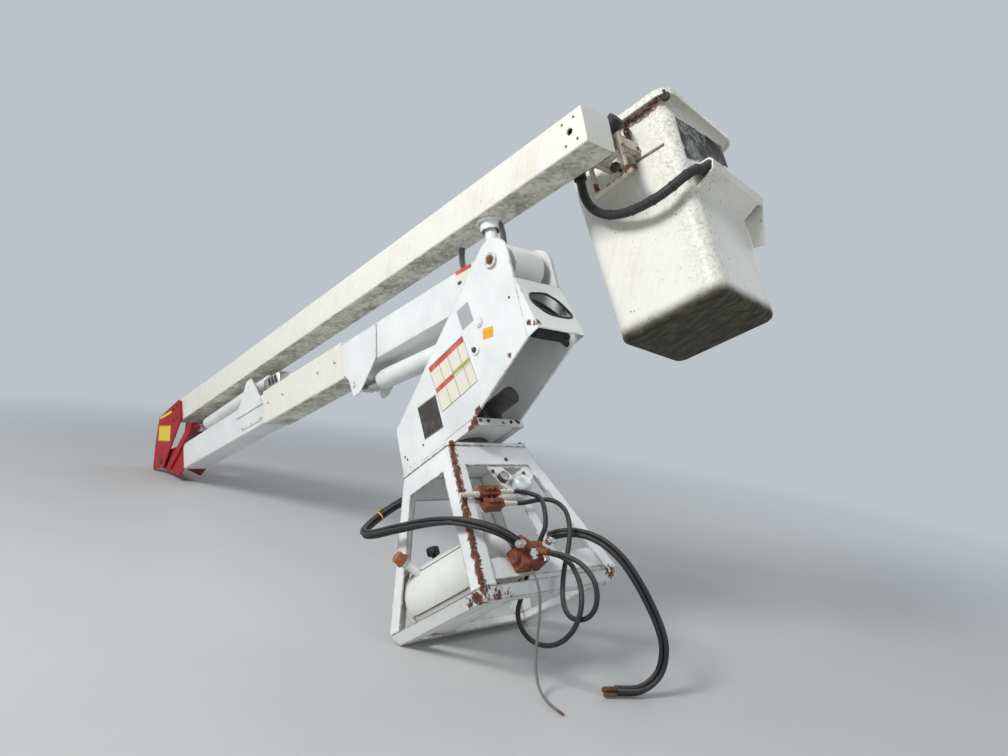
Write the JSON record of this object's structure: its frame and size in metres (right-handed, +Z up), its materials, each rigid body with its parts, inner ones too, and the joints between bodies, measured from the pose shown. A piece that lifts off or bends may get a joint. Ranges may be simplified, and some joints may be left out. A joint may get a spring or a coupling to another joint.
{
  "type": "articulated aerial lift with bucket, dismounted from its truck",
  "caption": "Two-boom articulated bucket lift on its pedestal, folded and lying as taken off a truck: turret, booms, cylinders, red elbow, open bucket, reservoir and hoses.",
  "frame": {"origin": "on the ground under the middle of the bounding box, as the lift lies on its pedestal heel and its elbow", "axes": "+X along the booms from the elbow towards the bucket, +Y towards the bucket side, +Z up"},
  "size_m": [5.2007, 1.4449, 2.7058],
  "materials": {
    "white_paint": "weathered white enamel with rust at edges",
    "cream_fibreglass": "chalky cream gelcoat with dirt",
    "red_paint": "faded red enamel",
    "dark_casting": "oily dark casting",
    "rusty_steel": "rusted steel",
    "chrome_rod": "hard chrome",
    "black_rubber": "dull black hose rubber",
    "rusty_red": "red-brown rusted valve castings",
    "cream_tube": "cream fittings",
    "clear_plastic": "clear bowl gone grey",
    "grey_hose": "grey plastic hose"
  },
  "bodies": {
    "pedestal": {"base_ring": "white_paint", "pedestal_frame": "white_paint", "top_plate": "white_paint", "slew_ring": "dark_casting", "reservoir": "white_paint", "reservoir_saddles": "white_paint", "filler_neck": "white_paint", "filler_cap": "rusty_steel", "breather": "black_rubber", "valve_bracket": "white_paint", "control_valve": "rusty_red", "feed_tube": "cream_tube", "upper_tube": "cream_tube", "lower_tube": "cream_tube", "swivel_valve": "rusty_red", "gauge": "dark_casting", "filter_bowl": "clear_plastic", "bundle_gland": "black_rubber", "supply_bundle": "black_rubber", "hose_loop_a": "black_rubber", "hose_loop_b": "black_rubber", "long_hoses": "black_rubber", "drain_hose": "grey_hose", "hose_couplings": "rusty_steel", "drain_nipple": "rusty_steel"},
    "turret": {"slew_race": "dark_casting", "turret_base": "white_paint", "turret_side_near": "white_paint", "turret_side_far": "white_paint", "turret_back": "white_paint", "hood": "white_paint", "rotation_gearbox": "dark_casting", "boom_pin": "rusty_steel", "lift_pin": "rusty_steel"},
    "lower_boom": {"lower_boom_root": "white_paint", "lower_boom_insert": "cream_fibreglass", "lower_boom_elbow_section": "white_paint", "trunnion_ears": "white_paint", "rest_post": "white_paint", "elbow_lower_plates": "red_paint"},
    "upper_boom": {"upper_boom": "cream_fibreglass", "boom_sleeve": "cream_fibreglass", "rest_cup": "white_paint", "elbow_upper_plates": "red_paint", "elbow_pin": "rusty_steel"},
    "levelling_shaft": {"levelling_shaft": "rusty_steel"},
    "bucket": {"bucket": "cream_fibreglass", "bucket_hanger": "rusty_steel", "console_cover": "cream_fibreglass", "sheath_boot": "black_rubber", "tip_sheath": "black_rubber"},
    "lift_barrel": {"lift_barrel": "white_paint"},
    "lift_rod": {"lift_rod": "chrome_rod"},
    "fold_barrel": {"fold_barrel": "white_paint"},
    "fold_rod": {"fold_rod": "chrome_rod"},
    "elbow_links": {"elbow_links": "red_paint"}
  },
  "joints": [
    {"name": "turret_rotation", "type": "hinge", "parent": "pedestal", "child": "turret", "pos_m": [1.44614, -0.26671, 0.84614], "axis": [-0.5813, 0, 0.8137], "range_deg": [-180, 180]},
    {"name": "lower_boom_lift", "type": "hinge", "parent": "turret", "child": "lower_boom", "pos_m": [1.65003, -0.26671, 1.80788], "axis": [0, 1, 0], "range_deg": [0, 80]},
    {"name": "upper_boom_lift", "type": "hinge", "parent": "lower_boom", "child": "upper_boom", "pos_m": [-2.43339, -0.26671, 0.11504], "axis": [0, -1, 0], "range_deg": [0, 150]},
    {"name": "shaft_levelling", "type": "hinge", "parent": "upper_boom", "child": "levelling_shaft", "pos_m": [1.99347, -0.26671, 2.38582], "axis": [0, 1, 0], "range_deg": [-80.02, 0]},
    {"name": "bucket_levelling", "type": "hinge", "parent": "levelling_shaft", "child": "bucket", "pos_m": [1.99347, -0.26671, 2.38582], "axis": [0, 1, 0], "range_deg": [0, 150.02]},
    {"name": "lift_cylinder_swing", "type": "hinge", "parent": "turret", "child": "lift_barrel", "pos_m": [1.61798, -0.26671, 1.51215], "axis": [0, 1, 0], "range_deg": [0, 76.81]},
    {"name": "lift_rod_slide", "type": "slide", "parent": "lift_barrel", "child": "lift_rod", "axis": [-0.9364, 0, -0.3511], "range_m": [0, 0.3752]},
    {"name": "fold_cylinder_swing", "type": "hinge", "parent": "lower_boom", "child": "fold_barrel", "pos_m": [-0.90451, -0.26671, 0.93118], "axis": [0, 1, 0], "range_deg": [0, 10.11]},
    {"name": "fold_rod_slide", "type": "slide", "parent": "fold_barrel", "child": "fold_rod", "axis": [-0.913, 0, -0.408], "range_m": [0, 0.5796]},
    {"name": "link_swing", "type": "hinge", "parent": "lower_boom", "child": "elbow_links", "pos_m": [-2.24624, -0.26671, 0.09763], "axis": [0, -1, 0], "range_deg": [0, 75.02]}
  ],
  "couplings": [
    {"joint": "shaft_levelling", "follows": "lower_boom_lift", "ratio": -1},
    {"joint": "bucket_levelling", "follows": "upper_boom_lift", "ratio": 1},
    {"joint": "lift_cylinder_swing", "follows": "lower_boom_lift", "ratio": 0.95982},
    {"joint": "lift_rod_slide", "follows": "lower_boom_lift", "m_per_rad": 0.26834},
    {"joint": "fold_cylinder_swing", "follows": "upper_boom_lift", "ratio": 0.067272},
    {"joint": "fold_rod_slide", "follows": "upper_boom_lift", "m_per_rad": 0.2212},
    {"joint": "link_swing", "follows": "upper_boom_lift", "ratio": 0.5}
  ]
}
